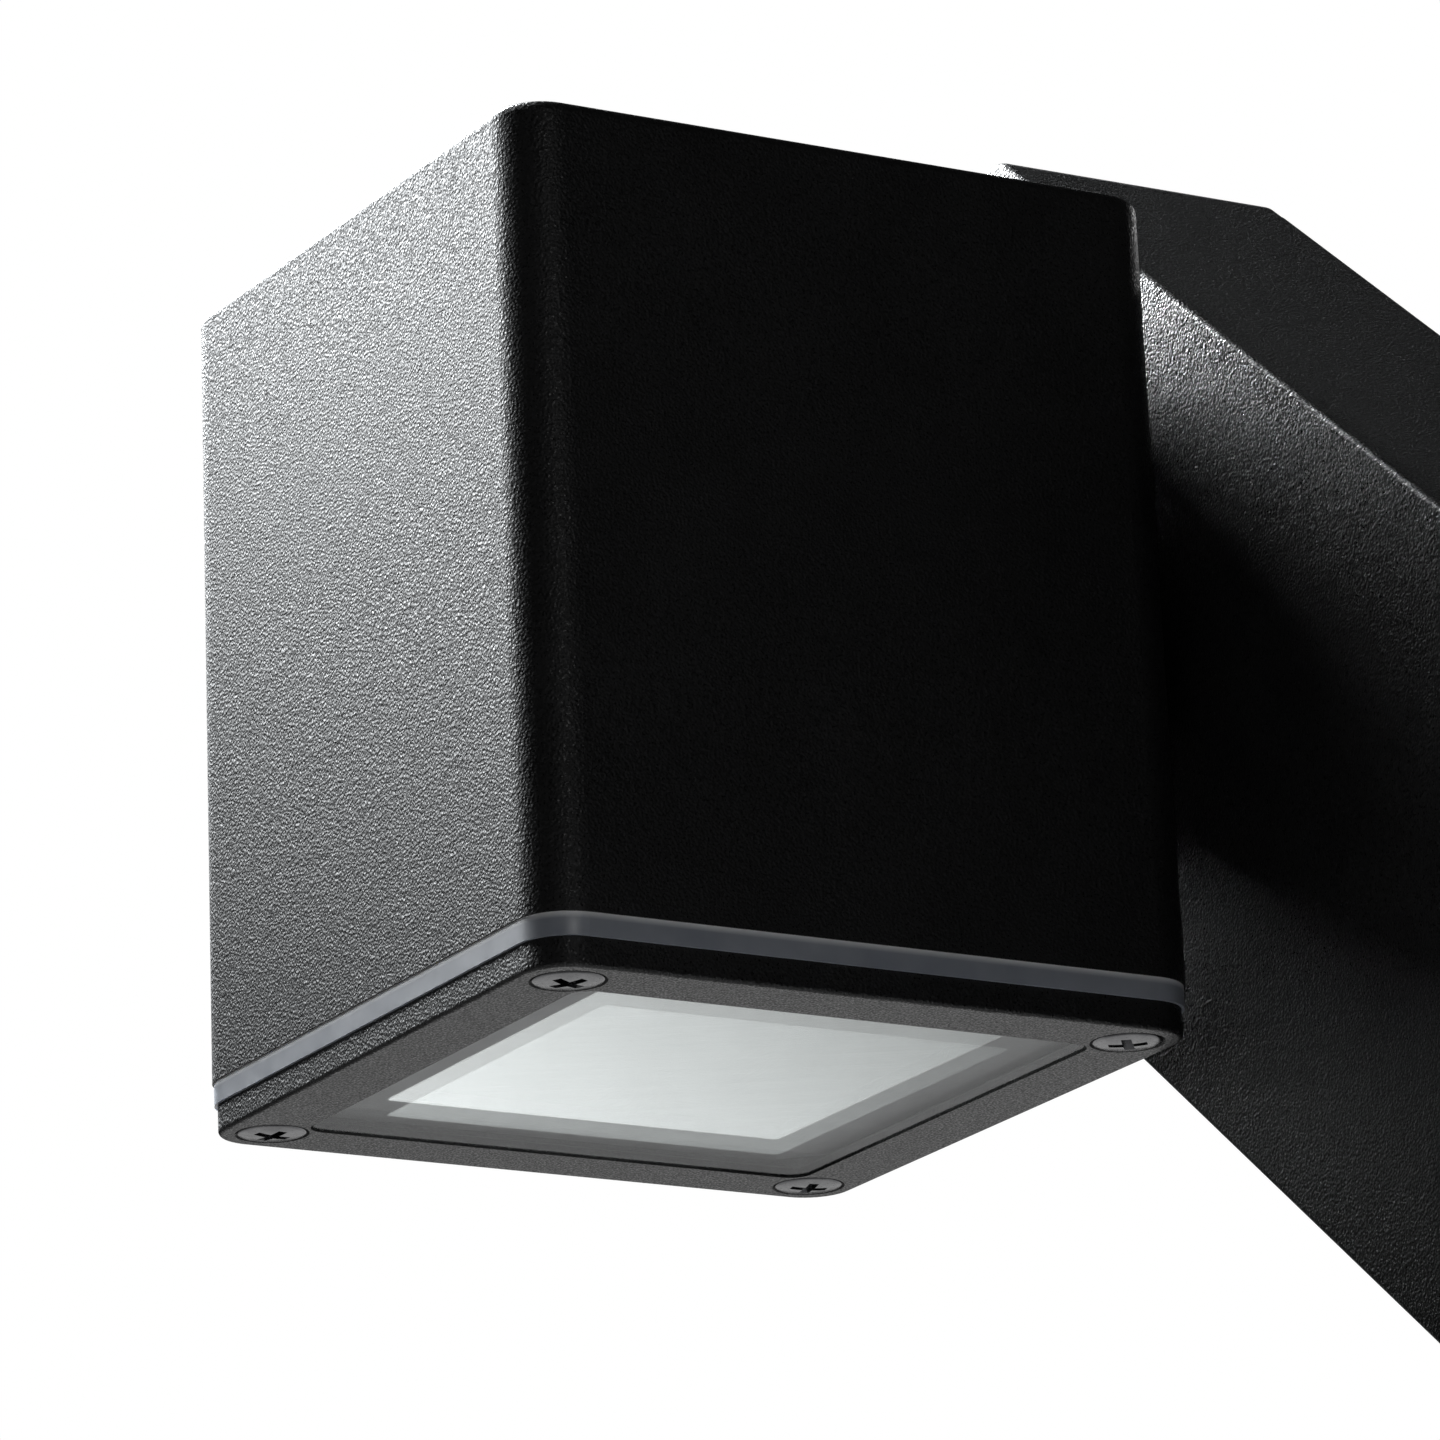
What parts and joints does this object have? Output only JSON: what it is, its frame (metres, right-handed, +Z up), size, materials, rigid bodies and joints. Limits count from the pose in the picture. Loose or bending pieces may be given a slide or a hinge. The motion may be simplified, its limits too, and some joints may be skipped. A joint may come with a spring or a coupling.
{
  "type": "outdoor wall lantern",
  "caption": "Outdoor wall lantern: a square cast head with a glazed, screwed cover frame below, swivelling on the front of a flat cast wall box.",
  "frame": {"origin": "centre of the wall plate on the wall plane, midway between its two wall screw holes", "axes": "+Z up, +Y into the wall, so the lantern stands out towards -Y; the swivel axis is parallel to Y"},
  "size_m": [0.174, 0.1196, 0.1606],
  "materials": {
    "powder_coat_black": "fine textured powder coat",
    "silicone_clear": "translucent silicone",
    "silicone_grey": "matt",
    "rubber_black": "matt",
    "glass_clear": "polished, slightly frosted",
    "opal_plastic": "opal, satin",
    "white_plastic": "white, glossy",
    "board_white": "solder-resist white",
    "chip_yellow": "phosphor",
    "sink_aluminium": "extruded, bare",
    "steel_screw": "dark zinc",
    "steel_bright": "zinc plated",
    "nylon_natural": "natural",
    "grey_plastic": "moulded",
    "driver_white": "moulded"
  },
  "bodies": {
    "wall_body": {"wall_box": "powder_coat_black", "wall_gasket": "rubber_black", "wall_plate": "steel_bright", "end_screws": "steel_screw", "cable_grommet": "rubber_black", "earth_screw": "steel_bright", "cable_clamp": "grey_plastic", "clamp_screws": "steel_bright", "terminal_block": "grey_plastic", "terminal_screws": "steel_bright", "terminal_fixings": "steel_bright", "led_driver": "driver_white", "driver_screws": "steel_bright", "swivel_spindle": "steel_bright", "friction_ring": "nylon_natural", "weather_ring": "rubber_black", "thrust_ring": "steel_bright", "spring_ring": "steel_bright", "swivel_nut": "steel_bright"},
    "head_body": {"head_housing": "powder_coat_black", "cover_gasket": "silicone_clear", "cover_frame": "powder_coat_black", "cover_screws": "steel_screw", "glass_pane": "glass_clear", "glass_seal": "silicone_grey", "diffuser_panel": "opal_plastic", "reflector_box": "white_plastic", "led_board": "board_white", "led_chips": "chip_yellow", "heat_sink": "sink_aluminium", "sink_screws": "steel_bright", "board_screws": "steel_bright", "stop_pin": "steel_bright"}
  },
  "joints": [
    {"name": "head_swivel", "type": "hinge", "parent": "wall_body", "child": "head_body", "pos_m": [-0.04551, -0.038, 0.03739], "axis": [0, 1, 0], "range_deg": [-140.6, 39.4]}
  ]
}
